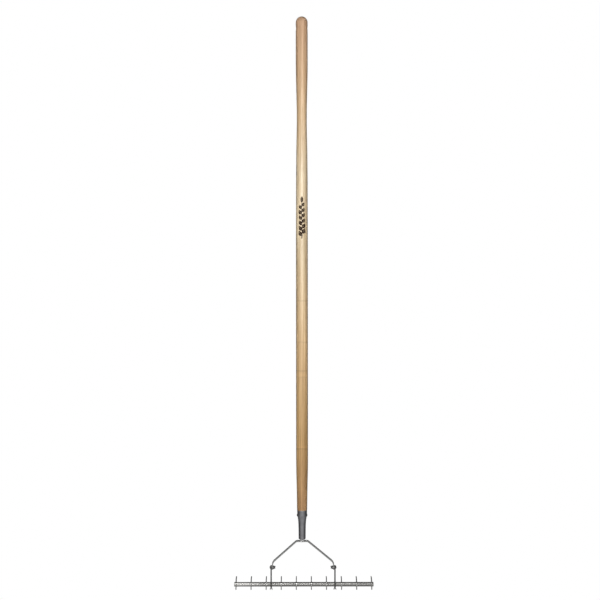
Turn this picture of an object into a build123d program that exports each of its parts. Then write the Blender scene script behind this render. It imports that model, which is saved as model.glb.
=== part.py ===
from build123d import *
import os
from math import acos, atan2, cos, degrees, hypot, radians, sin

os.makedirs("parts", exist_ok=True)

# A long-handled lawn rake: an ash handle, a steel socket, a bent strip bow, and a tilting head of
# claw-shaped tines on a round bar. Millimetres. X runs along the bar, Y from front to back, Z up the handle.
# The origin is the middle of the handle's straight stretch, on its axis.

# ---- driving dimensions: heights are measured up from the axis of the tine bar ----
GRIP_LOW, GRIP_HIGH = 340, 940  # the straight, cylindrical stretch of the handle
GRIP_R = 16.3
GRIP_MIDDLE = (GRIP_LOW + GRIP_HIGH) / 2

HANDLE_TOP = 1558
TOP_R = 16.3  # knob and upper hand hold, which pass through anything that fits the grip
GROOVE_BELOW_TOP, GROOVE_HALF_WIDTH, GROOVE_R = 32, 8, 15.6
HOLD_BELOW_TOP = 131  # lower end of the straight upper hand hold
WAIST_BELOW_TOP, WAIST_R = 292, 13.7
WAIST_FLANKS = [(430, 15.8), (365, 15.05), (197, 15.15)]  # distance below the top, and radius
SHOULDER_R = 13.9  # wood at the socket's mouth, just proud of the steel
FOOT_SWELL_HEIGHT, FOOT_SWELL_R = 262, 14.75

MOUTH_HEIGHT = 204.2
MOUTH_R = 13.65
MOUTH_BAND = 9  # straight band below the mouth
NECK_HEIGHT, NECK_R = 180, 11.5
STEM_HEIGHT, STEM_R = 155, 9.9
SOCKET_FOOT_R = 9.65
SOCKET_WALL = 1.9
SOCKET_FLOOR = 6.0
FOOT_ROUND = 3.0
TENON_GAP = 6.0  # from the socket's floor to the end of the wood, over the bow rivet's head

CROSS_RIVET_HEIGHT, CROSS_RIVET_R = 190, 2.5
CROSS_HEAD_R, CROSS_HEAD_RISE = 3.9, 1.3
CROSS_HEAD_SINK, CROSS_HEAD_SKIRT = 0.4, 2.0  # the heads reach in to meet the socket's curved side

BOW_THICK, BOW_WIDTH = 3.0, 14.0
BOW_TOP = 118.8  # middle of the strip's thickness
BOW_FLAT = 15.6  # half the flat at the top, corner to corner
BOW_HALF_SPAN = 84.0
BOW_SHIFT = 2.4  # the bow's right arm is a little longer than its left one
BOW_SHOULDER_HEIGHT = 60.6  # where the sloping arm's line meets the upright end
BOW_TOP_BEND, BOW_LOW_BEND = 9.0, 18.0
BOW_EYE_R = 6.2  # the strip tapers to this round its pivot
STRIP_EDGE = 0.7
BOW_TAPER = 10.0  # height above the pivot where the taper ends

COLLAR_R, COLLAR_HEIGHT = 6.2, 3.5  # spacer between the bow and the socket
BOW_RIVET_R = 4.0
BOW_RIVET_HEAD_R, BOW_RIVET_HEAD = 6.8, 4.0
PEEN_R, PEEN_RISE = 6.0, 1.6

PIVOT_HEIGHT = 46.5
PIVOT_R = 2.5
RUNNING_GAP = 0.05
BODY_GAP = 0.3
SEAT_GAP = 0.15

BRACKET_THICK = 3.5
BRACKET_TOP_R, BRACKET_EYE_R = 5.8, 9.6  # round the pivot, and round the bar
PRONG_SPREAD, PRONG_DROP, PRONG_WIDTH = 3.0, 13.8, 8.0
PRONG_HALF = 0.65  # half a prong's thickness at its tip
PRONG_ROOT, PRONG_SPLIT = 7.0, 9.4  # depths below the bar's axis where the foot starts and where it parts
PRONG_BEVEL = 0.4

BOLT_HEAD_R, BOLT_HEAD_RISE, BOLT_CHAMFER = 4.7, 2.4, 0.4
NECK_SQUARE = 2 * PIVOT_R
WASHER_R, WASHER_THICK, WASHER_EDGE = 5.0, 1.0, 0.15
NUT_BASE_R, NUT_TOP_R, NUT_HEIGHT = 4.6, 3.6, 4.0
NUT_FLANGE, NUT_ROUND = 0.8, 0.4  # thickness of the nut's rim, and the bevel at its top
WING_REACH, WING_HEIGHT, WING_THICK = 11.0, 5.6, 2.0
WING_ROOT, WING_EDGE, EAR_R = 1.0, 0.7, 2.4
BOLT_PROUD = 0.6  # thread showing past the nut

BAR_R, BAR_WALL, BAR_LENGTH = 6.0, 1.5, 382.0
BAR_SHIFT = 4.6  # the bar's middle, a little to one side of the handle's axis
CAP_THICK, CAP_PLUG, CAP_ROUND = 1.4, 4.0, 0.8

TINE_COUNT, TINE_PITCH, TINE_THICK, TINE_BEVEL = 10, 41.35, 2.5, 0.35
EYE_R = 9.0  # the rounded eye of a tine, round the bar
LONG_TIP = Vector(27.6, 14.2)  # from the bar's axis: back and up
SHORT_TIP = Vector(-3.5, -14.7)  # forward and down
CLAW_BACK_R, CLAW_HOOK_R = 30.0, 20.0
NOSE_R, NOSE_HOOK_R = 16.0, 8.0
TIP_ROUND = 0.7


def up(height):
    """Z in the part's frame of a height above the tine bar."""
    return height - GRIP_MIDDLE


def turned(face):
    """A profile drawn as radius and Z, turned about the handle's axis."""
    return revolve(Plane.XZ * face, Axis.Z)


def along_x(face, start, length, height=0):
    """A profile drawn as Y and Z about a height, made solid from x = start towards +X."""
    return extrude(Plane((start, 0, up(height)), x_dir=(0, 1, 0), z_dir=(1, 0, 0)) * face, length)


def rod_x(radius, start, length, height):
    return along_x(Circle(radius), start, length, height)


def turned_x(face, height):
    """A profile drawn as X and radius, turned about a line along X at a height."""
    return Pos(0, 0, up(height)) * revolve(Plane.XZ * face, Axis.X)


def mirrored(shape):
    return mirror(shape, Plane.YZ)


# ---- handle and socket ----
def handle_outline():
    """Right-hand edge of the handle from the shoulder on the socket up to the top of the dome."""
    top = up(HANDLE_TOP)
    knob_low = top - GROOVE_BELOW_TOP + GROOVE_HALF_WIDTH
    hold_high = top - GROOVE_BELOW_TOP - GROOVE_HALF_WIDTH
    hold_low = top - HOLD_BELOW_TOP
    low_flank, mid_flank, high_flank = [(radius, top - below) for below, radius in WAIST_FLANKS]
    foot = Spline(
        [(SHOULDER_R, up(MOUTH_HEIGHT)), (FOOT_SWELL_R, up(FOOT_SWELL_HEIGHT)), (GRIP_R, up(GRIP_LOW))],
        tangents=[(0.02, 1), (0, 1)],
    )
    grip = Line((GRIP_R, up(GRIP_LOW)), (GRIP_R, up(GRIP_HIGH)))
    waist = Spline(
        [
            (GRIP_R, up(GRIP_HIGH)),
            low_flank,
            mid_flank,
            (WAIST_R, top - WAIST_BELOW_TOP),
            high_flank,
            (TOP_R, hold_low),
        ],
        tangents=[(0, 1), (0, 1)],
    )
    hold = Line((TOP_R, hold_low), (TOP_R, hold_high))
    groove = Spline(
        [(TOP_R, hold_high), (GROOVE_R, top - GROOVE_BELOW_TOP), (TOP_R, knob_low)],
        tangents=[(0, 1), (0, 1)],
    )
    knob = Line((TOP_R, knob_low), (TOP_R, top - TOP_R))
    cap = CenterArc((0, top - TOP_R), TOP_R, 0, 90)
    return [foot, grip, waist, hold, groove, knob, cap]


SOCKET_BASE = BOW_TOP + BOW_THICK / 2 + COLLAR_HEIGHT
CAVITY_FLOOR = SOCKET_BASE + SOCKET_FLOOR
TENON_SLACK = 0.1
LIP = 0.15  # how much the mouth's band widens towards its rim


def socket_cavity(floor, slack=0.0):
    """The socket's tapering inside, from a floor height up to the mouth, as a face."""
    mouth = MOUTH_R - SOCKET_WALL - slack
    return make_face(
        Polyline(
            (0, up(floor)),
            (STEM_R - SOCKET_WALL - slack, up(floor)),
            (NECK_R - SOCKET_WALL - slack, up(NECK_HEIGHT)),
            (mouth, up(MOUTH_HEIGHT - MOUTH_BAND)),
            (mouth, up(MOUTH_HEIGHT)),
            (0, up(MOUTH_HEIGHT)),
            close=True,
        )
    )


def handle():
    shoulder = Line((0, up(MOUTH_HEIGHT)), (SHOULDER_R, up(MOUTH_HEIGHT)))
    centre = Line((0, up(HANDLE_TOP)), (0, up(MOUTH_HEIGHT)))
    above = turned(make_face([shoulder, *handle_outline(), centre]))
    tenon = turned(socket_cavity(CAVITY_FLOOR + TENON_GAP, slack=TENON_SLACK))
    rivet_hole = rod_x(CROSS_RIVET_R, -MOUTH_R, 2 * MOUTH_R, CROSS_RIVET_HEIGHT)
    return above + tenon - rivet_hole


def socket_outside():
    base = up(SOCKET_BASE)
    straight = Polyline((SOCKET_FOOT_R, base + FOOT_ROUND), (STEM_R, up(STEM_HEIGHT)))
    flare = Spline(
        [
            (STEM_R, up(STEM_HEIGHT)),
            (NECK_R, up(NECK_HEIGHT)),
            (MOUTH_R - LIP, up(MOUTH_HEIGHT - MOUTH_BAND)),
        ],
        tangents=[(0.022, 1), (0.015, 1)],
    )
    band = Polyline(
        (MOUTH_R - LIP, up(MOUTH_HEIGHT - MOUTH_BAND)),
        (MOUTH_R, up(MOUTH_HEIGHT)),
        (0, up(MOUTH_HEIGHT)),
        (0, base),
        (SOCKET_FOOT_R - FOOT_ROUND, base),
    )
    foot = CenterArc((SOCKET_FOOT_R - FOOT_ROUND, base + FOOT_ROUND), FOOT_ROUND, -90, 90)
    return turned(make_face([straight, flare, band, foot]))


def socket():
    stud_hole = Pos(0, 0, up(SOCKET_BASE)) * Cylinder(BOW_RIVET_R, 4 * SOCKET_FLOOR)
    cross_hole = rod_x(CROSS_RIVET_R, -2 * MOUTH_R, 4 * MOUTH_R, CROSS_RIVET_HEIGHT)
    shell = socket_outside() - turned(socket_cavity(CAVITY_FLOOR))
    return shell - stud_hole - cross_hole


def dome(radius, rise, start):
    """Half of a low dome's section: X from start outwards, and the radius about the X axis."""
    ball_r = (radius**2 + rise**2) / (2 * rise)
    rim = degrees(atan2(radius, ball_r - rise))
    middle = radians(rim / 2)
    centre = start + rise - ball_r
    skin = ThreePointArc(
        (start, radius),
        (centre + ball_r * cos(middle), ball_r * sin(middle)),
        (start + rise, 0),
    )
    return make_face([skin, Line((start + rise, 0), (start, 0)), Line((start, 0), (start, radius))])


def socket_rivet():
    """The rivet across the socket. Its two heads are hammered down to the round of the steel."""
    seat = MOUTH_R - CROSS_HEAD_SINK
    head = turned_x(dome(CROSS_HEAD_R, CROSS_HEAD_RISE, seat), CROSS_RIVET_HEIGHT)
    skirt = rod_x(CROSS_HEAD_R, seat - CROSS_HEAD_SKIRT, CROSS_HEAD_SKIRT, CROSS_RIVET_HEIGHT)
    head = (head + skirt) - socket_outside()
    shank = rod_x(CROSS_RIVET_R, -seat, 2 * seat, CROSS_RIVET_HEIGHT)
    return shank + head + mirrored(head)


# ---- bow and the rivet that holds it under the socket ----
def bow():
    """One flat strip: level under the socket, sloping down both ways, and upright at the pivots."""
    level, knee = up(BOW_TOP), up(BOW_SHOULDER_HEIGHT)
    foot = up(PIVOT_HEIGHT - BOW_WIDTH / 2)
    left, right = BOW_SHIFT - BOW_HALF_SPAN, BOW_SHIFT + BOW_HALF_SPAN
    path = FilletPolyline(
        (left, 0, foot),
        (left, 0, knee),
        (-BOW_FLAT, 0, level),
        (BOW_FLAT, 0, level),
        (right, 0, knee),
        (right, 0, foot),
        radius=[BOW_LOW_BEND, BOW_TOP_BEND, BOW_TOP_BEND, BOW_LOW_BEND],
    )
    start = Plane((left, 0, foot), x_dir=(1, 0, 0), z_dir=(0, 0, 1))
    strip = sweep(start * RectangleRounded(BOW_THICK, BOW_WIDTH, STRIP_EDGE), path)
    reach = 2 * BOW_HALF_SPAN + BOW_WIDTH
    shoulder = Pos(0, BOW_TAPER) * Rectangle(BOW_WIDTH, BOW_TOP, align=(Align.CENTER, Align.MIN))
    side_view = make_hull((Circle(BOW_EYE_R) + shoulder).edges())
    eyes = rod_x(PIVOT_R + RUNNING_GAP, -reach / 2, reach, PIVOT_HEIGHT)
    stud_hole = Pos(0, 0, level) * Cylinder(BOW_RIVET_R, 2 * BOW_THICK)
    return (strip & along_x(side_view, -reach / 2, reach, PIVOT_HEIGHT)) - eyes - stud_hole


def bow_collar():
    """The steel spacer that the socket stands on."""
    collar = Pos(0, 0, up(SOCKET_BASE - COLLAR_HEIGHT / 2)) * Cylinder(COLLAR_R, COLLAR_HEIGHT)
    collar = fillet(collar.edges().filter_by(GeomType.CIRCLE), STRIP_EDGE)
    return collar - Pos(0, 0, up(SOCKET_BASE)) * Cylinder(BOW_RIVET_R, 4 * COLLAR_HEIGHT)


def bow_rivet():
    """The stud through the socket's floor, the collar and the bow, with its peened end below."""
    under = up(BOW_TOP - BOW_THICK / 2)
    floor = up(CAVITY_FLOOR)
    shank = Pos(0, 0, (under + floor) / 2) * Cylinder(BOW_RIVET_R, floor - under)
    head = Pos(0, 0, floor + BOW_RIVET_HEAD / 2) * Cylinder(BOW_RIVET_HEAD_R, BOW_RIVET_HEAD)
    peen = Pos(0, 0, under) * Rot(0, 90, 0) * revolve(Plane.XZ * dome(PEEN_R, PEEN_RISE, 0), Axis.X)
    return shank + head + peen


# ---- the tilting head: brackets, pivots, bar, caps and tines. The right-hand pivot pieces are drawn
# about the middle of the bow, and at_bow_ends puts them and their mirror images in place ----
BRACKET_INNER = BOW_HALF_SPAN + BOW_THICK / 2 + BODY_GAP
BRACKET_OUTER = BRACKET_INNER + BRACKET_THICK
BRACKET_MIDDLE = BRACKET_INNER + BRACKET_THICK / 2
WASHER_FACE = BOW_HALF_SPAN - BOW_THICK / 2 - SEAT_GAP
NUT_FACE = WASHER_FACE - WASHER_THICK - SEAT_GAP


def at_bow_ends(right_piece):
    """The left-hand and right-hand copies of a piece, at the two ends of the bow."""
    middle = Pos(BOW_SHIFT, 0, 0)
    return middle * mirrored(right_piece), middle * right_piece


def prongs():
    """The bracket's split foot, below the bar: two short prongs bent apart."""
    half = BRACKET_THICK / 2
    inner, outer = PRONG_SPREAD - PRONG_HALF, PRONG_SPREAD + PRONG_HALF
    outline = Polyline(
        (-half, -PRONG_ROOT),
        (-half, -PRONG_SPLIT),
        (-outer, -PRONG_DROP),
        (-inner, -PRONG_DROP - PRONG_BEVEL),
        (0, -PRONG_SPLIT - PRONG_BEVEL),
        (inner, -PRONG_DROP - PRONG_BEVEL),
        (outer, -PRONG_DROP),
        (half, -PRONG_SPLIT),
        (half, -PRONG_ROOT),
        close=True,
    )
    plane = Plane((BRACKET_MIDDLE, PRONG_WIDTH / 2, up(0)), x_dir=(1, 0, 0), z_dir=(0, -1, 0))
    return extrude(plane * make_face(outline), PRONG_WIDTH)


def bracket():
    """A plate that narrows upwards from its eye round the bar to its hole for the pivot bolt."""
    outline = make_hull((Circle(BRACKET_EYE_R) + Pos(0, PIVOT_HEIGHT) * Circle(BRACKET_TOP_R)).edges())
    plate = along_x(outline, BRACKET_INNER, BRACKET_THICK)
    rims = plate.faces().sort_by(Axis.X)
    plate = fillet(rims[0].edges() + rims[-1].edges(), STRIP_EDGE)
    neck_hole = along_x(Rectangle(NECK_SQUARE, NECK_SQUARE), BRACKET_INNER, BRACKET_THICK, PIVOT_HEIGHT)
    bar_hole = rod_x(BAR_R, BRACKET_INNER - BAR_R, BRACKET_THICK + 2 * BAR_R, 0)
    return plate + prongs() - neck_hole - bar_hole


def pivot_bolt():
    """A coach bolt: low domed head outside, square neck in the bracket, round shank inwards."""
    head = turned_x(dome(BOLT_HEAD_R, BOLT_HEAD_RISE, BRACKET_OUTER), PIVOT_HEIGHT)
    neck = along_x(Rectangle(NECK_SQUARE, NECK_SQUARE), BRACKET_INNER, BRACKET_THICK, PIVOT_HEIGHT)
    tip = NUT_FACE - NUT_HEIGHT - BOLT_PROUD
    shank = rod_x(PIVOT_R, tip, BRACKET_INNER - tip, PIVOT_HEIGHT)
    shank = chamfer(shank.faces().sort_by(Axis.X)[0].edges(), BOLT_CHAMFER)
    return head + neck + shank


def washer():
    ring = Circle(WASHER_R) - Circle(PIVOT_R + RUNNING_GAP)
    disc = along_x(ring, WASHER_FACE - WASHER_THICK, WASHER_THICK, PIVOT_HEIGHT)
    rims = disc.edges().filter_by(GeomType.CIRCLE).sort_by(SortBy.RADIUS)
    return chamfer(rims[-2:], WASHER_EDGE)


def wing():
    """One wing of the nut, drawn as distance out from the bolt and height off the nut's base."""
    ear = Pos(WING_REACH - EAR_R, WING_HEIGHT - EAR_R) * Circle(EAR_R)
    root_size = (PIVOT_R / 2, NUT_HEIGHT - WING_ROOT)
    root = Pos(0, WING_ROOT) * Rectangle(*root_size, align=(Align.MIN, Align.MIN))
    outline = make_hull((ear + root).edges())
    plane = Plane((NUT_FACE, 0, up(PIVOT_HEIGHT)), x_dir=(0, 1, 0), z_dir=(0, 0, 1))
    blade = extrude(plane * outline, WING_THICK / 2, both=True)
    rims = blade.faces().filter_by(Axis.Z).edges()
    return fillet(rims.filter_by(lambda edge: edge.center().Y > 1), WING_EDGE)


def wing_nut():
    top = NUT_FACE - NUT_HEIGHT
    hub_side = Polyline(
        (NUT_FACE, 0),
        (NUT_FACE, NUT_BASE_R),
        (NUT_FACE - NUT_FLANGE, NUT_BASE_R),
        (top + NUT_ROUND, NUT_TOP_R),
        (top, NUT_TOP_R - NUT_ROUND),
        (top, 0),
        close=True,
    )
    hub = turned_x(make_face(hub_side), PIVOT_HEIGHT)
    bore = rod_x(PIVOT_R + RUNNING_GAP, NUT_FACE - 3 * NUT_HEIGHT, 4 * NUT_HEIGHT, PIVOT_HEIGHT)
    both_wings = wing() + mirror(wing(), Plane.XZ)
    return hub + both_wings - bore


def tine_bar():
    tube = Circle(BAR_R) - Circle(BAR_R - BAR_WALL)
    return along_x(tube, BAR_SHIFT - BAR_LENGTH / 2 + CAP_THICK, BAR_LENGTH - 2 * CAP_THICK)


def bar_cap(side):
    """A steel cap pressed into one end of the bar and welded round its rim."""
    rim = BAR_LENGTH / 2 - CAP_THICK
    plug = rod_x(BAR_R - BAR_WALL, rim - CAP_PLUG, CAP_PLUG, 0)
    lid = rod_x(BAR_R, rim, CAP_THICK, 0)
    lid = fillet(lid.faces().sort_by(Axis.X)[-1].edges(), CAP_ROUND)
    cap = plug + lid
    return Pos(BAR_SHIFT, 0, 0) * (cap if side > 0 else mirrored(cap))


def polar(radius, angle, centre=Vector(0, 0)):
    return centre + Vector(radius * cos(radians(angle)), radius * sin(radians(angle)))


def heading(vector):
    return degrees(atan2(vector.Y, vector.X))


def touching(tip, radius, turn, outside=False):
    """Centre of a circle of a given radius that passes through a tip and just touches the eye.

    turn is +1 or -1: which way round from the tip the centre lies. outside says that the eye and the
    circle lie side by side, not one inside the other.
    """
    reach = radius + EYE_R if outside else radius - EYE_R
    tip_reach = hypot(tip.X, tip.Y)
    swing = acos((reach**2 + tip_reach**2 - radius**2) / (2 * reach * tip_reach))
    return polar(reach, heading(tip) + turn * degrees(swing))


def arc(centre, radius, start, end):
    """The shorter arc about a centre from one point to another."""
    first, last = heading(start - centre), heading(end - centre)
    sweep_angle = (last - first + 180) % 360 - 180
    return ThreePointArc(start, polar(radius, first + sweep_angle / 2, centre), end)


def tine_outline():
    """A claw round the bar: a long tip back and up, and a short tooth forward and down."""
    back = touching(LONG_TIP, CLAW_BACK_R, -1)
    hook = touching(LONG_TIP, CLAW_HOOK_R, -1, outside=True)
    nose = touching(SHORT_TIP, NOSE_R, 1)
    nick = touching(SHORT_TIP, NOSE_HOOK_R, 1, outside=True)
    brow = polar(EYE_R, heading(back) + 180)
    chin = polar(EYE_R, heading(nose) + 180)
    heel = polar(EYE_R, heading(hook))
    throat = polar(EYE_R, heading(nick))
    origin = Vector(0, 0)
    claw = make_face(
        [
            arc(back, CLAW_BACK_R, brow, LONG_TIP),
            arc(hook, CLAW_HOOK_R, LONG_TIP, heel),
            arc(origin, EYE_R, heel, throat),
            arc(nick, NOSE_HOOK_R, throat, SHORT_TIP),
            arc(nose, NOSE_R, SHORT_TIP, chin),
            arc(origin, EYE_R, chin, brow),
        ]
    )
    tips = claw.vertices().sort_by_distance((0, 0))[-2:]
    return fillet(tips, TIP_ROUND)


def tine(index):
    middle = BAR_SHIFT + (index - (TINE_COUNT - 1) / 2) * TINE_PITCH
    plate = along_x(tine_outline(), middle - TINE_THICK / 2, TINE_THICK)
    rims = plate.faces().sort_by(Axis.X)
    plate = chamfer(rims[0].edges() + rims[-1].edges(), TINE_BEVEL)
    return plate - rod_x(BAR_R, middle - TINE_THICK, 2 * TINE_THICK, 0)


# ---- every piece, one file each ----
left_bracket, right_bracket = at_bow_ends(bracket())
left_pivot_bolt, right_pivot_bolt = at_bow_ends(pivot_bolt())
left_washer, right_washer = at_bow_ends(washer())
left_wing_nut, right_wing_nut = at_bow_ends(wing_nut())
PIECES = {
    "handle": handle(),
    "socket": socket(),
    "socket_rivet": socket_rivet(),
    "bow": bow(),
    "bow_collar": bow_collar(),
    "bow_rivet": bow_rivet(),
    "left_bracket": left_bracket,
    "right_bracket": right_bracket,
    "left_pivot_bolt": left_pivot_bolt,
    "right_pivot_bolt": right_pivot_bolt,
    "left_washer": left_washer,
    "right_washer": right_washer,
    "left_wing_nut": left_wing_nut,
    "right_wing_nut": right_wing_nut,
    "tine_bar": tine_bar(),
    "left_bar_cap": bar_cap(-1),
    "right_bar_cap": bar_cap(1),
}
for number in range(TINE_COUNT):
    PIECES[f"tine_{number + 1:02d}"] = tine(number)

for name, shape in PIECES.items():
    export_step(shape, f"parts/{name}.step")
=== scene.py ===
import math
import random

import bmesh
import bpy
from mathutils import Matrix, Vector
from mathutils.bvhtree import BVHTree

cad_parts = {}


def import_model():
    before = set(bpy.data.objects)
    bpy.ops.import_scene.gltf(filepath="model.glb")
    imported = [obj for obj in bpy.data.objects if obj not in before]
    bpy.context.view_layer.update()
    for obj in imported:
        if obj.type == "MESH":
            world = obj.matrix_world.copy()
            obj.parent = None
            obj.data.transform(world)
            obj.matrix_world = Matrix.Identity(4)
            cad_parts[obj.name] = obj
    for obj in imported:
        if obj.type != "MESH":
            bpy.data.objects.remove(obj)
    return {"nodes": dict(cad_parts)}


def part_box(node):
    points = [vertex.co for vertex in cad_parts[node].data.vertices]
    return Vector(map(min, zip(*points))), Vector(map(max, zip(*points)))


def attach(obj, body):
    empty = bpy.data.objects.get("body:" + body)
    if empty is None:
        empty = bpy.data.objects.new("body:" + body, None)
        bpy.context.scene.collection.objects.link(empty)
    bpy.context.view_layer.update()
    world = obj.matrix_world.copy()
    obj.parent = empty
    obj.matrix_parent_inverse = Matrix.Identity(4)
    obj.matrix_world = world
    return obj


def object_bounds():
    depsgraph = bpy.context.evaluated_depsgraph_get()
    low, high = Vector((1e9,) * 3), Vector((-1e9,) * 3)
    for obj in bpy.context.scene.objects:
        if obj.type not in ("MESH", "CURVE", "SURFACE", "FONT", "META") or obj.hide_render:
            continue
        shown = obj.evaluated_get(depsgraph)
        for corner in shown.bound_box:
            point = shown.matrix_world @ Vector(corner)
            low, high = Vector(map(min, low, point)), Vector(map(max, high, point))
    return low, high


# A long-handled lawn rake in a plain studio. Metres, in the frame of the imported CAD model.

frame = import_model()
cad_low, cad_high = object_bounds()
nodes = frame["nodes"]
random.seed(11)

HEAD = "head"
STAFF = "handle_and_bow"

handle_low, handle_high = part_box("handle")
socket_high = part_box("socket")[1]
bar_low, bar_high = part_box("tine_bar")
BAR_Z = ((bar_low + bar_high) / 2).z
BAR_R = (bar_high.z - bar_low.z) / 2
BRACKET_THICK = 0.0035  # the plate where the bar goes through; its box is wider, over the bent prongs


# ---- node helpers ----
class Nodes:
    """A node tree, emptied, with short calls to add and join nodes."""

    def __init__(self, owner):
        owner.use_nodes = True
        self.tree = owner.node_tree
        self.tree.nodes.clear()

    def add(self, kind, **settings):
        node = self.tree.nodes.new(kind)
        for key, value in settings.items():
            setattr(node, key, value)
        return node

    def link(self, source, target):
        self.tree.links.new(source, target)

    def give(self, target, value):
        """A number or a colour on a socket, or another socket joined to it."""
        if isinstance(value, (int, float)):
            target.default_value = value
        elif isinstance(value, tuple):
            target.default_value = (*value, 1)
        else:
            self.link(value, target)

    def math(self, operation, *terms):
        node = self.add("ShaderNodeMath", operation=operation)
        for target, term in zip(node.inputs, terms):
            self.give(target, term)
        return node.outputs["Value"]

    def rising(self, source, low, high):
        """0 to 1 as the source goes from low to high."""
        node = self.add("ShaderNodeMapRange")
        node.inputs["From Min"].default_value = low
        node.inputs["From Max"].default_value = high
        self.link(source, node.inputs["Value"])
        return node.outputs["Result"]

    def ramp(self, source, *stops):
        """A colour ramp. Each stop is (position, grey or colour)."""
        node = self.add("ShaderNodeValToRGB")
        elements = node.color_ramp.elements
        while len(elements) > 1:
            elements.remove(elements[-1])
        for index, (position, value) in enumerate(stops):
            colour = value if isinstance(value, tuple) else (value, value, value)
            element = elements[0] if index == 0 else elements.new(position)
            element.position = position
            element.color = (*colour, 1)
        self.link(source, node.inputs["Fac"])
        return node.outputs["Color"]


class Surface(Nodes):
    """A material with one Principled shader, mapped by the object's own coordinates."""

    def __init__(self, name):
        self.material = bpy.data.materials.new(name)
        super().__init__(self.material)
        self.shader = self.add("ShaderNodeBsdfPrincipled")
        output = self.add("ShaderNodeOutputMaterial")
        self.link(self.shader.outputs["BSDF"], output.inputs["Surface"])
        coords = self.add("ShaderNodeTexCoord")
        self.place = coords.outputs["Object"]

    def set(self, **values):
        for key, value in values.items():
            self.shader.inputs[key.replace("_", " ")].default_value = value

    def stretched(self, scale, turn=(0, 0, 0)):
        """Object coordinates multiplied along each axis. A small number draws the noise out that way."""
        mapping = self.add("ShaderNodeMapping")
        mapping.inputs["Scale"].default_value = scale
        mapping.inputs["Rotation"].default_value = turn
        self.link(self.place, mapping.inputs["Vector"])
        return mapping.outputs["Vector"]

    def noise(self, vector, scale, detail=4.0, roughness=0.55):
        node = self.add("ShaderNodeTexNoise")
        node.inputs["Scale"].default_value = scale
        node.inputs["Detail"].default_value = detail
        node.inputs["Roughness"].default_value = roughness
        self.link(vector, node.inputs["Vector"])
        return node.outputs["Fac"]

    def rings(self, vector, scale, distortion, detail_scale):
        """Saw-tooth bands across X, bent by noise, for growth rings."""
        node = self.add("ShaderNodeTexWave", wave_type="BANDS", bands_direction="X", wave_profile="SAW")
        node.inputs["Scale"].default_value = scale
        node.inputs["Distortion"].default_value = distortion
        node.inputs["Detail"].default_value = 2.0
        node.inputs["Detail Scale"].default_value = detail_scale
        self.link(vector, node.inputs["Vector"])
        return node.outputs["Fac"]

    def along(self, axis, low, high):
        """0 to 1 between two places along one axis of the object."""
        split = self.add("ShaderNodeSeparateXYZ")
        self.link(self.place, split.inputs["Vector"])
        return self.rising(split.outputs[axis], low, high)

    def mix(self, factor, first, second, blend="MIX"):
        node = self.add("ShaderNodeMix", data_type="RGBA", blend_type=blend)
        blend_factor, _, _, _, _, _, colour_a, colour_b = node.inputs[:8]
        self.give(blend_factor, factor)
        self.give(colour_a, first)
        self.give(colour_b, second)
        return node.outputs[2]

    def tint(self, tone, source, *stops):
        """A tone multiplied by a ramp."""
        return self.mix(1.0, tone, self.ramp(source, *stops), "MULTIPLY")

    def spread(self, source, low, high):
        """A 0 to 1 value mapped to low to high."""
        node = self.add("ShaderNodeMapRange")
        node.inputs["To Min"].default_value = low
        node.inputs["To Max"].default_value = high
        self.link(source, node.inputs["Value"])
        return node.outputs["Result"]

    def bump(self, height, distance, strength, under=None):
        node = self.add("ShaderNodeBump")
        node.inputs["Distance"].default_value = distance
        node.inputs["Strength"].default_value = strength
        self.link(height, node.inputs["Height"])
        if under is not None:
            self.link(under, node.inputs["Normal"])
        return node.outputs["Normal"]

    def colour(self, source):
        self.link(source, self.shader.inputs["Base Color"])

    def rough(self, source):
        self.link(source, self.shader.inputs["Roughness"])

    def normal(self, source):
        self.link(source, self.shader.inputs["Normal"])


# ---- materials ----
PLAIN = (1, 1, 1)  # coordinates left unstretched
# Faint marks across the grain: height, half thickness, and tone against the wood round them.
WOOD_MARKS = (
    (-0.2670, 0.0016, 0.80),
    (-0.2620, 0.0014, 1.16),
    (-0.0720, 0.0012, 0.90),
    (-0.0640, 0.0030, 1.07),
    (-0.0530, 0.0014, 0.78),
    (0.0250, 0.0014, 0.84),
    (0.1380, 0.0014, 0.82),
)
MARK_LOW, MARK_HIGH = -0.30, 0.17  # heights that the marks lie between
MARK_SWAY = 0.016  # how far the marks waver, as a share of that height
MARK_FADE = 1.8  # where a mark has died out, in half thicknesses from its middle
MARK_CORE = 0.5
# A darker growth line down the front of the handle, just left of the middle.
VEIN_X = (-0.0092, 0.0008)
VEIN_SWAY = 0.16
VEIN_Z = (0.13, 0.78)
GROWTH_BROWN = (0.36, 0.19, 0.085)
RIM_HIGHLIGHT_DEPTH = 0.0022  # how far down from the socket's mouth the painted highlight reaches
DULL = 0.78  # scuffed steel against clean steel


def wood_marks(g, tone):
    """The tone with the faint marks across the grain, their heights wavering a little round the handle."""
    waver = g.math("MULTIPLY", g.noise(g.stretched((1, 1, 0.3)), 90, detail=3), MARK_SWAY)
    height = g.math("ADD", g.along("Z", MARK_LOW, MARK_HIGH), waver)
    stops = [(0.0, 1.0)]
    for z, half, grey in WOOD_MARKS:
        for offset, value in ((-MARK_FADE, 1.0), (-MARK_CORE, grey), (MARK_CORE, grey), (MARK_FADE, 1.0)):
            place = (z + offset * half - MARK_LOW) / (MARK_HIGH - MARK_LOW) + MARK_SWAY / 2
            stops.append((place, value))
    return g.tint(tone, height, *stops)


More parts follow.
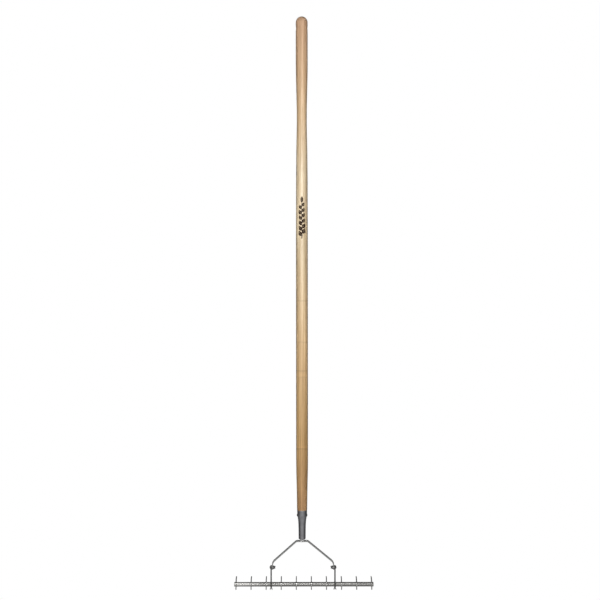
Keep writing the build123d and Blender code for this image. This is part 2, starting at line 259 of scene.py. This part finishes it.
def growth_line(g, tone):
    """The tone with the darker growth line, which sways and fades out at both ends."""
    sway = g.math("MULTIPLY", g.noise(g.stretched((0, 0, 1)), 9, detail=2), VEIN_SWAY)
    swayed = g.math("ADD", g.along("X", *VEIN_X), sway)
    line = g.ramp(swayed, (0.38, 0.0), (0.48, 1.0), (0.56, 1.0), (0.66, 0.0))
    reach = g.ramp(g.along("Z", *VEIN_Z), (0.0, 0.0), (0.1, 0.85), (0.9, 0.85), (1.0, 0.0))
    return g.mix(g.math("MULTIPLY", line, reach), tone, (0.86, 0.81, 0.74), "MULTIPLY")


def ash_wood():
    """Pale, straight-grained ash under a satin lacquer: creamier half way up, browner near the socket."""
    g = Surface("ash_wood")
    tone = g.ramp(
        g.along("Z", handle_low.z, handle_high.z),
        (0.00, (0.62, 0.345, 0.165)),
        (0.18, (0.63, 0.405, 0.172)),
        (0.36, (0.64, 0.455, 0.250)),
        (0.56, (0.66, 0.560, 0.390)),
        (0.70, (0.66, 0.560, 0.400)),
        (0.80, (0.65, 0.490, 0.310)),
        (0.90, (0.64, 0.440, 0.275)),
        (1.00, (0.62, 0.400, 0.260)),
    )
    streaks = g.noise(g.stretched((1, 1, 0.02)), 190, detail=5, roughness=0.6)
    tone = g.tint(tone, streaks, (0.38, (0.76, 0.72, 0.65)), (0.60, (1.09, 1.09, 1.09)))
    threads = g.noise(g.stretched((1, 1, 0.012)), 430, detail=3, roughness=0.6)
    tone = g.tint(tone, threads, (0.36, (0.84, 0.82, 0.78)), (0.62, (1.07, 1.07, 1.06)))
    tone = growth_line(g, tone)
    tone = wood_marks(g, tone)
    rings = g.rings(g.stretched((1, 1, 0.03), (0, 0, 0.6)), 98, 7, 0.15)
    late_wood = g.ramp(rings, (0.0, 0.0), (0.70, 0.12), (0.92, 0.42), (1.0, 0.05))
    tone = g.mix(late_wood, tone, GROWTH_BROWN)
    pores = g.noise(g.stretched((1, 1, 0.03)), 1500, detail=2, roughness=0.7)
    tone = g.mix(g.ramp(pores, (0.56, 0.0), (0.68, 0.35)), tone, GROWTH_BROWN)
    handled = g.noise(g.stretched((1, 1, 0.35)), 16, detail=4, roughness=0.6)
    tone = g.tint(tone, handled, (0.38, (0.90, 0.89, 0.87)), (0.60, (1.0, 1.0, 1.0)))
    g.colour(tone)
    g.rough(g.spread(streaks, 0.40, 0.54))
    fine = g.bump(pores, 0.00012, 0.5)
    g.normal(g.bump(streaks, 0.0003, 0.45, under=fine))
    g.set(Coat_Weight=0.8, Coat_Roughness=0.34, Specular_IOR_Level=0.5)
    return g.material


def socket_paint():
    """Grey satin coat over steel, with a fine hammered texture, and a painted highlight: a pale steel
    colour round the mouth's rim, standing in for light caught there.
    """
    g = Surface("socket_paint")
    plain = g.stretched(PLAIN)
    dimples = g.noise(plain, 420, detail=2, roughness=0.4)
    grain = g.noise(plain, 2600, detail=2)
    wear = g.noise(plain, 60, detail=5, roughness=0.7)
    paint = g.ramp(wear, (0.35, (0.30, 0.30, 0.315)), (0.7, (0.40, 0.40, 0.415)))
    # Painted highlight: a wavering band of pale steel colour at the socket's mouth, standing in for light
    # on the rim.
    waver = g.math("MULTIPLY", g.noise(g.stretched((1, 1, 0.2)), 240, detail=3), 0.5)
    rim = g.math("ADD", g.along("Z", socket_high.z - RIM_HIGHLIGHT_DEPTH, socket_high.z), waver)
    g.colour(g.mix(g.ramp(rim, (0.75, 0.0), (0.95, 1.0)), paint, (0.74, 0.72, 0.69)))
    g.rough(g.spread(grain, 0.24, 0.36))
    fine = g.bump(grain, 0.00003, 0.4)
    g.normal(g.bump(dimples, 0.00015, 0.4, under=fine))
    g.set(Metallic=0.85, Coat_Weight=0.1, Coat_Roughness=0.3)
    return g.material


def steel(name, colour, rough_low, rough_high, brush, tangent_axis, painted_highlight=None, metallic=1.0):
    """Bare steel with a brushed grain. brush stretches the grain's noise along each axis.

    The fifth argument, (from x, to x, colour there), is a painted highlight: one end is given a paler
    colour that fades out along x, standing in for a reflection of light there.
    """
    g = Surface(name)
    lines = g.noise(g.stretched(brush), 1800, detail=3, roughness=0.6)
    scuffs = g.noise(g.stretched(PLAIN), 70, detail=6, roughness=0.75)
    smudge = g.noise(g.stretched(PLAIN), 22, detail=3)
    dull = tuple(part * DULL for part in colour)
    tone = g.mix(g.ramp(scuffs, (0.45, 0.0), (0.7, 0.6)), colour, dull)
    # Painted highlight: a paler colour at one end, standing in for light reflected there.
    if painted_highlight:
        from_x, to_x, bright = painted_highlight
        tone = g.mix(g.ramp(g.along("X", from_x, to_x), (0.0, 1.0), (1.0, 0.0)), tone, bright)
    g.colour(tone)
    blend = g.math("MULTIPLY", g.math("ADD", lines, smudge), 0.5)
    g.rough(g.spread(blend, rough_low, rough_high))
    g.normal(g.bump(lines, 0.00002, 0.14))
    tangent = g.add("ShaderNodeTangent", direction_type="RADIAL", axis=tangent_axis)
    g.link(tangent.outputs["Tangent"], g.shader.inputs["Tangent"])
    g.set(Metallic=metallic, Anisotropic=0.35)
    return g.material


def burnt_mark():
    """Dark brown scorched wood for the leaf mark."""
    g = Surface("burnt_mark")
    char = g.noise(g.stretched((1, 1, 0.2)), 1400, detail=4)
    g.colour(g.ramp(char, (0.3, (0.012, 0.006, 0.003)), (0.75, (0.042, 0.022, 0.011))))
    g.rough(g.spread(char, 0.45, 0.7))
    g.normal(g.bump(char, 0.00006, 0.5))
    g.set(Specular_IOR_Level=0.25)
    return g.material


def weld_metal():
    """Heat-tinted weld bead."""
    g = Surface("weld_metal")
    ripple = g.noise(g.stretched(PLAIN), 900, detail=3)
    heat = g.noise(g.stretched(PLAIN), 160, detail=2)
    g.colour(g.ramp(heat, (0.35, (0.42, 0.41, 0.39)), (0.55, (0.5, 0.47, 0.41)), (0.7, (0.38, 0.37, 0.38))))
    g.rough(g.spread(ripple, 0.3, 0.5))
    g.normal(g.bump(ripple, 0.00008, 0.5))
    g.set(Metallic=1.0)
    return g.material


WOOD = ash_wood()
PAINT = socket_paint()
# A painted highlight on the bar's left end: a paler colour over its last 85 mm, standing in for a
# reflection of light.
BAR_END_HIGHLIGHT = (bar_low.x, bar_low.x + 0.085, (0.92, 0.91, 0.88))
# A share of metal under 1 makes the steel partly matt, so that it isn't black where the room is dark.
BAR_STEEL = steel("bar_steel", (0.42, 0.415, 0.40), 0.38, 0.46, (0.05, 1, 1), "X", BAR_END_HIGHLIGHT, metallic=0.88)
STRIP_STEEL = steel("strip_steel", (0.42, 0.42, 0.41), 0.30, 0.44, (0.08, 1, 1), "X", metallic=0.75)
# Painted shade: the bracket plates get a near-black steel colour, far darker than the rest of the
# stainless, standing in for the shade on their front edges.
PLATE_SHADED_STEEL = steel("plate_steel", (0.13, 0.13, 0.127), 0.30, 0.44, (1, 1, 0.08), "X", metallic=0.75)
TINE_STEEL = steel("tine_steel", (0.58, 0.58, 0.57), 0.22, 0.34, (1, 0.1, 1), "X", metallic=0.88)
# The collar's steel is given a near-white, mostly matt colour: a painted highlight standing in for the
# bright glint just under the socket.
COLLAR_HIGHLIGHT_STEEL = steel("collar_highlight_steel", (0.98, 0.98, 0.97), 0.20, 0.32, (0.05, 0.05, 1), "Z", metallic=0.2)
DARK_STEEL = steel("dark_steel", (0.035, 0.035, 0.037), 0.26, 0.42, (1, 1, 1), "X")
ZINC = steel("zinc_plate", (0.34, 0.34, 0.34), 0.30, 0.46, (1, 1, 1), "X")
CHAR = burnt_mark()
WELD = weld_metal()

NODE_MATERIALS = {
    "handle": WOOD,
    "socket": PAINT,
    "socket_rivet": DARK_STEEL,
    "bow": STRIP_STEEL,
    "bow_collar": COLLAR_HIGHLIGHT_STEEL,
    "bow_rivet": DARK_STEEL,
    "tine_bar": BAR_STEEL,
    "left_bar_cap": BAR_STEEL,
    "right_bar_cap": BAR_STEEL,
}
for side in ("left", "right"):
    NODE_MATERIALS[f"{side}_bracket"] = PLATE_SHADED_STEEL
    NODE_MATERIALS[f"{side}_pivot_bolt"] = DARK_STEEL
    NODE_MATERIALS[f"{side}_washer"] = ZINC
    NODE_MATERIALS[f"{side}_wing_nut"] = ZINC
for name, piece in nodes.items():
    piece.material_slots[0].material = NODE_MATERIALS.get(name, TINE_STEEL)  # the rest are tines


# ---- mesh pieces ----
def mesh_piece(name, mesh, material, body):
    """Make an object of a finished mesh, with one material, riding on a body."""
    for face in mesh.faces:
        face.smooth = True
    data = bpy.data.meshes.new(name)
    mesh.to_mesh(data)
    mesh.free()
    data.materials.append(material)
    piece = bpy.data.objects.new(name, data)
    bpy.context.scene.collection.objects.link(piece)
    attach(piece, body)


# ---- the leaf mark on the handle ----
SPRIG_LOW, SPRIG_HIGH = 0.308, 0.424  # heights of the foot of the stem and near the tip of the end leaf
SPRIG_RISE = SPRIG_HIGH - SPRIG_LOW
STEM_SHARE = 0.87  # the stem's length, as a share of that rise
STEM_STEPS = 48
STEM_SWAY = 0.0007
STEM_HALF = (0.0011, 0.0007)  # half its width at the foot and at the top
LEAF_PAIRS = 6
FIRST_PAIR, LAST_PAIR = 0.06, 0.82  # shares of the rise that the pairs are spread between
PAIR_START, PAIR_STAGGER = 0.30, 0.22  # where in its stretch a pair grows, and one side ahead of the other
LEAF_LENGTH, LEAF_HALF = 0.0150, 0.0049
LEAF_TAPER = 0.22  # how much smaller the top leaves are
LEAF_LEAN = 0.86  # radians from the stem
LEAF_CURL = 0.35  # how much of its lean a leaf loses towards its tip
SIZE_CHANGE, LEAN_CHANGE = 0.04, 0.05  # random, either way
END_LEAF_SHARE, END_LEAF_LEAN = 0.85, 0.02
END_LEAF_LENGTH, END_LEAF_HALF = 0.0172, 0.0036
LEAF_FOOT = 0.0005  # how far from the stem's middle a leaf starts
LEAF_STEPS = 12
LEAF_EDGE = 0.00006  # half the width left at a leaf's two ends
RIB_HALF = 0.00017  # half the bare midrib between a leaf's two halves
MARK_PROUD, MARK_DEPTH = 0.00012, 0.0004
MARK_R = handle_high.x * 0.98  # near the handle's radius at the mark, to turn distances into angles
RAY_START = 0.05  # outside the handle
handle_tree = BVHTree.FromObject(nodes["handle"], bpy.context.evaluated_depsgraph_get())


def on_handle(across, height, proud):
    """A point on the front of the handle: a distance round it from the middle, and a height."""
    angle = across / MARK_R
    outward = Vector((math.sin(angle), -math.cos(angle), 0))
    start = outward * RAY_START + Vector((0, 0, height))
    hit = handle_tree.ray_cast(start, -outward)[0]
    return hit + outward * proud


def patch(mesh, rows):
    """A thin closed plate over the handle through rows of (across, height) places."""
    layers = []
    for proud in (MARK_PROUD, -MARK_DEPTH):
        layers.append([[mesh.verts.new(on_handle(u, z, proud)) for u, z in row] for row in rows])
    top, under = layers
    last_row, last_column = len(rows) - 1, len(rows[0]) - 1
    for i in range(last_row):
        for j in range(last_column):
            mesh.faces.new((top[i][j], top[i][j + 1], top[i + 1][j + 1], top[i + 1][j]))
            mesh.faces.new((under[i][j], under[i + 1][j], under[i + 1][j + 1], under[i][j + 1]))
    rim = [(i, 0) for i in range(last_row)]
    rim += [(last_row, j) for j in range(last_column)]
    rim += [(i, last_column) for i in range(last_row, 0, -1)]
    rim += [(0, j) for j in range(last_column, 0, -1)]
    for (i, j), (k, m) in zip(rim, rim[1:] + rim[:1]):
        mesh.faces.new((top[i][j], top[k][m], under[k][m], under[i][j]))


def leaf_reach(t, half_width):
    """Half a leaf's width at a share t of its length: a sine, fullest two fifths of the way along."""
    return half_width * math.sin(math.pi * (0.04 + 0.92 * t) ** 0.8) + LEAF_EDGE


def leaf(mesh, base, lean, length, half_width):
    """A pointed leaf in two halves, either side of its midrib, from a base place."""
    for side in (-1, 1):
        rows = []
        for step in range(LEAF_STEPS + 1):
            t = step / LEAF_STEPS
            bend = lean * (1 - LEAF_CURL * t)
            along = Vector((math.sin(bend), math.cos(bend)))
            across = Vector((along.y, -along.x)) * side
            middle = Vector(base) + along * length * t
            reach = leaf_reach(t, half_width)
            rib = min(RIB_HALF, reach * 0.5)
            rows.append([middle + across * (rib + (reach - rib) * part) for part in (0, 0.5, 1)])
        patch(mesh, rows)


def stem_middle(z):
    """How far the stem bends aside at a height."""
    return STEM_SWAY * math.sin((z - SPRIG_LOW) / SPRIG_RISE * 2 * math.pi)


def leaf_mark():
    """A generic sprig burnt into the front of the handle."""
    mesh = bmesh.new()
    foot, top = STEM_HALF
    rows = []
    for step in range(STEM_STEPS + 1):
        z = SPRIG_LOW + SPRIG_RISE * STEM_SHARE * step / STEM_STEPS
        half = foot - (foot - top) * step / STEM_STEPS
        rows.append([(stem_middle(z) + half * part, z) for part in (-1, 0, 1)])
    patch(mesh, rows)
    for pair in range(LEAF_PAIRS):
        for side in (-1, 1):
            share = (pair + PAIR_START + PAIR_STAGGER * side) / LEAF_PAIRS
            z = SPRIG_LOW + SPRIG_RISE * (FIRST_PAIR + (LAST_PAIR - FIRST_PAIR) * share)
            size = 1.0 - LEAF_TAPER * share + random.uniform(-SIZE_CHANGE, SIZE_CHANGE)
            lean = side * (LEAF_LEAN + random.uniform(-LEAN_CHANGE, LEAN_CHANGE))
            base = (stem_middle(z) + side * LEAF_FOOT, z)
            leaf(mesh, base, lean, LEAF_LENGTH * size, LEAF_HALF * size)
    end_base = (stem_middle(SPRIG_HIGH), SPRIG_LOW + SPRIG_RISE * END_LEAF_SHARE)
    leaf(mesh, end_base, END_LEAF_LEAN, END_LEAF_LENGTH, END_LEAF_HALF)
    bmesh.ops.recalc_face_normals(mesh, faces=mesh.faces)
    mesh_piece("leaf_mark", mesh, CHAR, STAFF)


# ---- welds round the bar ----
BEAD_THICK = 0.0007  # the radius of a bead's section
BEAD_RIPPLES = 17
BEAD_RIPPLE, BEAD_CHANGE = 0.16, 0.05  # how much the section swells in step, and at random
BEAD_AROUND, BEAD_SECTION = 72, 10  # points round the bar and round the section
BEAD_GAP = 0.0001
END_BEAD_SUNK = 0.00045


def bead(mesh, x, radius):
    """A rippled weld bead round the bar at a place along it."""
    phase = random.uniform(0, 2 * math.pi)
    rings = []
    for i in range(BEAD_AROUND):
        angle = 2 * math.pi * i / BEAD_AROUND
        ripple = BEAD_RIPPLE * math.sin(BEAD_RIPPLES * angle + phase)
        swell = 1 + ripple + random.uniform(-BEAD_CHANGE, BEAD_CHANGE)
        ring = []
        for j in range(BEAD_SECTION):
            turn = 2 * math.pi * j / BEAD_SECTION
            reach = radius + BEAD_THICK * swell * math.sin(turn)
            along = x + BEAD_THICK * swell * math.cos(turn)
            place = (along, reach * math.cos(angle), BAR_Z + reach * math.sin(angle))
            ring.append(mesh.verts.new(place))
        rings.append(ring)
    for i in range(BEAD_AROUND):
        following = rings[(i + 1) % BEAD_AROUND]
        for j in range(BEAD_SECTION):
            k = (j + 1) % BEAD_SECTION
            mesh.faces.new((rings[i][j], rings[i][k], following[k], following[j]))


def weld_piece(name, places, radius):
    """Beads round the bar at several places along it, as one piece."""
    mesh = bmesh.new()
    for x in places:
        bead(mesh, x, radius)
    bmesh.ops.recalc_face_normals(mesh, faces=mesh.faces)
    mesh_piece(name, mesh, WELD, HEAD)


def welds():
    """A bead on both sides of each plate that the bar goes through, and one at each end of the bar."""
    for name in nodes:
        bracket = name.endswith("_bracket")
        tine = name.startswith("tine_") and name != "tine_bar"
        if not bracket and not tine:
            continue
        low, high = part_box(name)
        middle, half = (low.x + high.x) / 2, (high.x - low.x) / 2
        if bracket:
            half = BRACKET_THICK / 2
        places = [middle + side * (half + BEAD_GAP) for side in (-1, 1)]
        weld_piece(f"{name}_weld", places, BAR_R + BEAD_GAP)
    weld_piece("bar_end_welds", (bar_low.x, bar_high.x), BAR_R - END_BEAD_SUNK)


leaf_mark()
welds()


# ---- camera, stage and light ----
def aim(thing, place, target):
    thing.location = place
    thing.rotation_euler = (Vector(target) - Vector(place)).to_track_quat("-Z", "Y").to_euler()


CAMERA_DISTANCE = 2.65
CAMERA_SIDE, CAMERA_RISE = -0.0053, 0.0083  # across from the handle's axis, and above the rake's middle
CAMERA_ROLL = -0.0009  # radians
FIELD = 1.647  # width of the view at the rake, for a rake that fills most of the height
# Brightness from straight in front (0) to straight behind (1): for matt surfaces, and in reflections.
ROOM = ((0.0, 0.20), (0.38, 0.17), (0.50, 0.08), (0.60, 0.05), (0.84, 0.05), (0.93, 0.12), (1.0, 0.14))
CARDS = (
    (0.00, 0.66),
    (0.06, 0.58),
    (0.12, 0.46),
    (0.19, 0.33),
    (0.28, 0.19),
    (0.40, 0.08),
    (0.52, 0.03),
    (0.84, 0.04),
    (0.93, 0.32),
    (1.00, 0.50),
)
CARD_TOP = 0.05  # the card behind stops at the camera's level, give or take this
DIM_ABOVE = 0.72  # how much of its brightness is lost above that
CORNER_CARDS = 0.20  # cards high and low at the sides, for the flat faces that look that way
FLOOR_HALF = 15.0
FLOOR_GAP = 0.02  # how far the rake hangs clear of the floor


def camera():
    """A level camera in front of the rake, rolled by the hair that the rake hangs off the vertical."""
    data = bpy.data.cameras.new("camera")
    data.sensor_width = 36
    data.lens = data.sensor_width * CAMERA_DISTANCE / FIELD
    eye = bpy.data.objects.new("camera", data)
    bpy.context.scene.collection.objects.link(eye)
    middle = (cad_low + cad_high) / 2
    place = Vector((CAMERA_SIDE, -CAMERA_DISTANCE, middle.z + CAMERA_RISE))
    aim(eye, place, place + Vector((0, 1, 0)))
    eye.rotation_euler.rotate_axis("Z", CAMERA_ROLL)
    bpy.context.scene.camera = eye


def softbox(name, place, target, width, height, power, diffuse=True, glossy=True):
    """A soft rectangular light. It can be kept out of reflections, or be there only for them."""
    data = bpy.data.lights.new(name, "AREA")
    data.shape = "RECTANGLE"
    data.size, data.size_y = width, height
    data.energy = power
    light = bpy.data.objects.new(name, data)
    bpy.context.scene.collection.objects.link(light)
    aim(light, Vector(place), Vector(target))
    light.visible_camera = False
    light.visible_diffuse = diffuse
    light.visible_glossy = glossy


def world():
    """White behind the rake for the camera. The rest is a dim room with soft grey cards round it.

    The cards show in glossy surfaces more than they light matt ones, as large dull reflectors do.
    """
    surroundings = bpy.data.worlds.new("studio")
    bpy.context.scene.world = surroundings
    w = Nodes(surroundings)
    output = w.add("ShaderNodeOutputWorld")
    ray = w.add("ShaderNodeLightPath")
    coords = w.add("ShaderNodeTexCoord")
    split = w.add("ShaderNodeSeparateXYZ")
    w.link(coords.outputs["Generated"], split.inputs["Vector"])
    across, depth, height = split.outputs
    behind = w.rising(depth, -1, 1)

    def light(strength):
        layer = w.add("ShaderNodeBackground")
        layer.inputs["Color"].default_value = (1, 1, 1, 1)
        w.give(layer.inputs["Strength"], strength)
        return layer.outputs["Background"]

    def seen_by(kind, general, special):
        mix = w.add("ShaderNodeMixShader")
        w.link(ray.outputs[kind], mix.inputs["Fac"])
        w.link(general, mix.inputs[1])
        w.link(special, mix.inputs[2])
        return mix.outputs["Shader"]

    above = w.math("MULTIPLY", w.rising(depth, 0.1, 0.5), w.rising(height, -CARD_TOP, CARD_TOP))
    kept = w.math("MULTIPLY_ADD", above, -DIM_ABOVE, 1.0)
    to_side = w.rising(w.math("ABSOLUTE", across), 0.30, 0.50)
    up_or_down = w.rising(w.math("ABSOLUTE", height), 0.30, 0.45)
    corners = w.math("MULTIPLY", to_side, up_or_down)
    cards = w.math("MULTIPLY_ADD", corners, CORNER_CARDS, w.math("MULTIPLY", w.ramp(behind, *CARDS), kept))
    shown = seen_by("Is Glossy Ray", light(w.ramp(behind, *ROOM)), light(cards))
    shown = seen_by("Is Camera Ray", shown, light(1.0))
    w.link(shown, output.inputs["Surface"])


def floor():
    """A plain white floor that the rake hangs just clear of. It lights nothing and isn't reflected."""
    material = bpy.data.materials.new("floor_white")
    g = Nodes(material)
    output = g.add("ShaderNodeOutputMaterial")
    glow = g.add("ShaderNodeEmission")
    glow.inputs["Color"].default_value = (1, 1, 1, 1)
    g.link(glow.outputs["Emission"], output.inputs["Surface"])
    mesh = bpy.data.meshes.new("floor")
    corners = [(x * FLOOR_HALF, y * FLOOR_HALF, 0) for x, y in ((-1, -1), (1, -1), (1, 1), (-1, 1))]
    mesh.from_pydata(corners, [], [(0, 1, 2, 3)])
    mesh.materials.append(material)
    ground = bpy.data.objects.new("floor", mesh)
    bpy.context.scene.collection.objects.link(ground)
    ground.location.z = cad_low.z - FLOOR_GAP
    ground.visible_diffuse = False
    ground.visible_glossy = False


camera()
world()
floor()
softbox("key_light", (-0.05, -1.0, 0.43), (0, 0, 0.40), 0.85, 0.60, 13.6, glossy=False)
softbox("fill_light", (-0.05, -1.3, -0.30), (0, 0, -0.35), 0.60, 0.30, 2.7, glossy=False)
softbox("gloss_light", (-0.08, -1.9, 0.70), (0, 0, 0.10), 0.35, 0.40, 9, diffuse=False)
softbox("back_light", (0, 1.5, 0.15), (0, 0, 0.15), 0.35, 1.4, 30, glossy=False)
softbox("top_light", (0, -0.3, 2.2), (0, 0, 0), 0.8, 0.8, 4, glossy=False)
bpy.context.scene.view_settings.view_transform = "Standard"
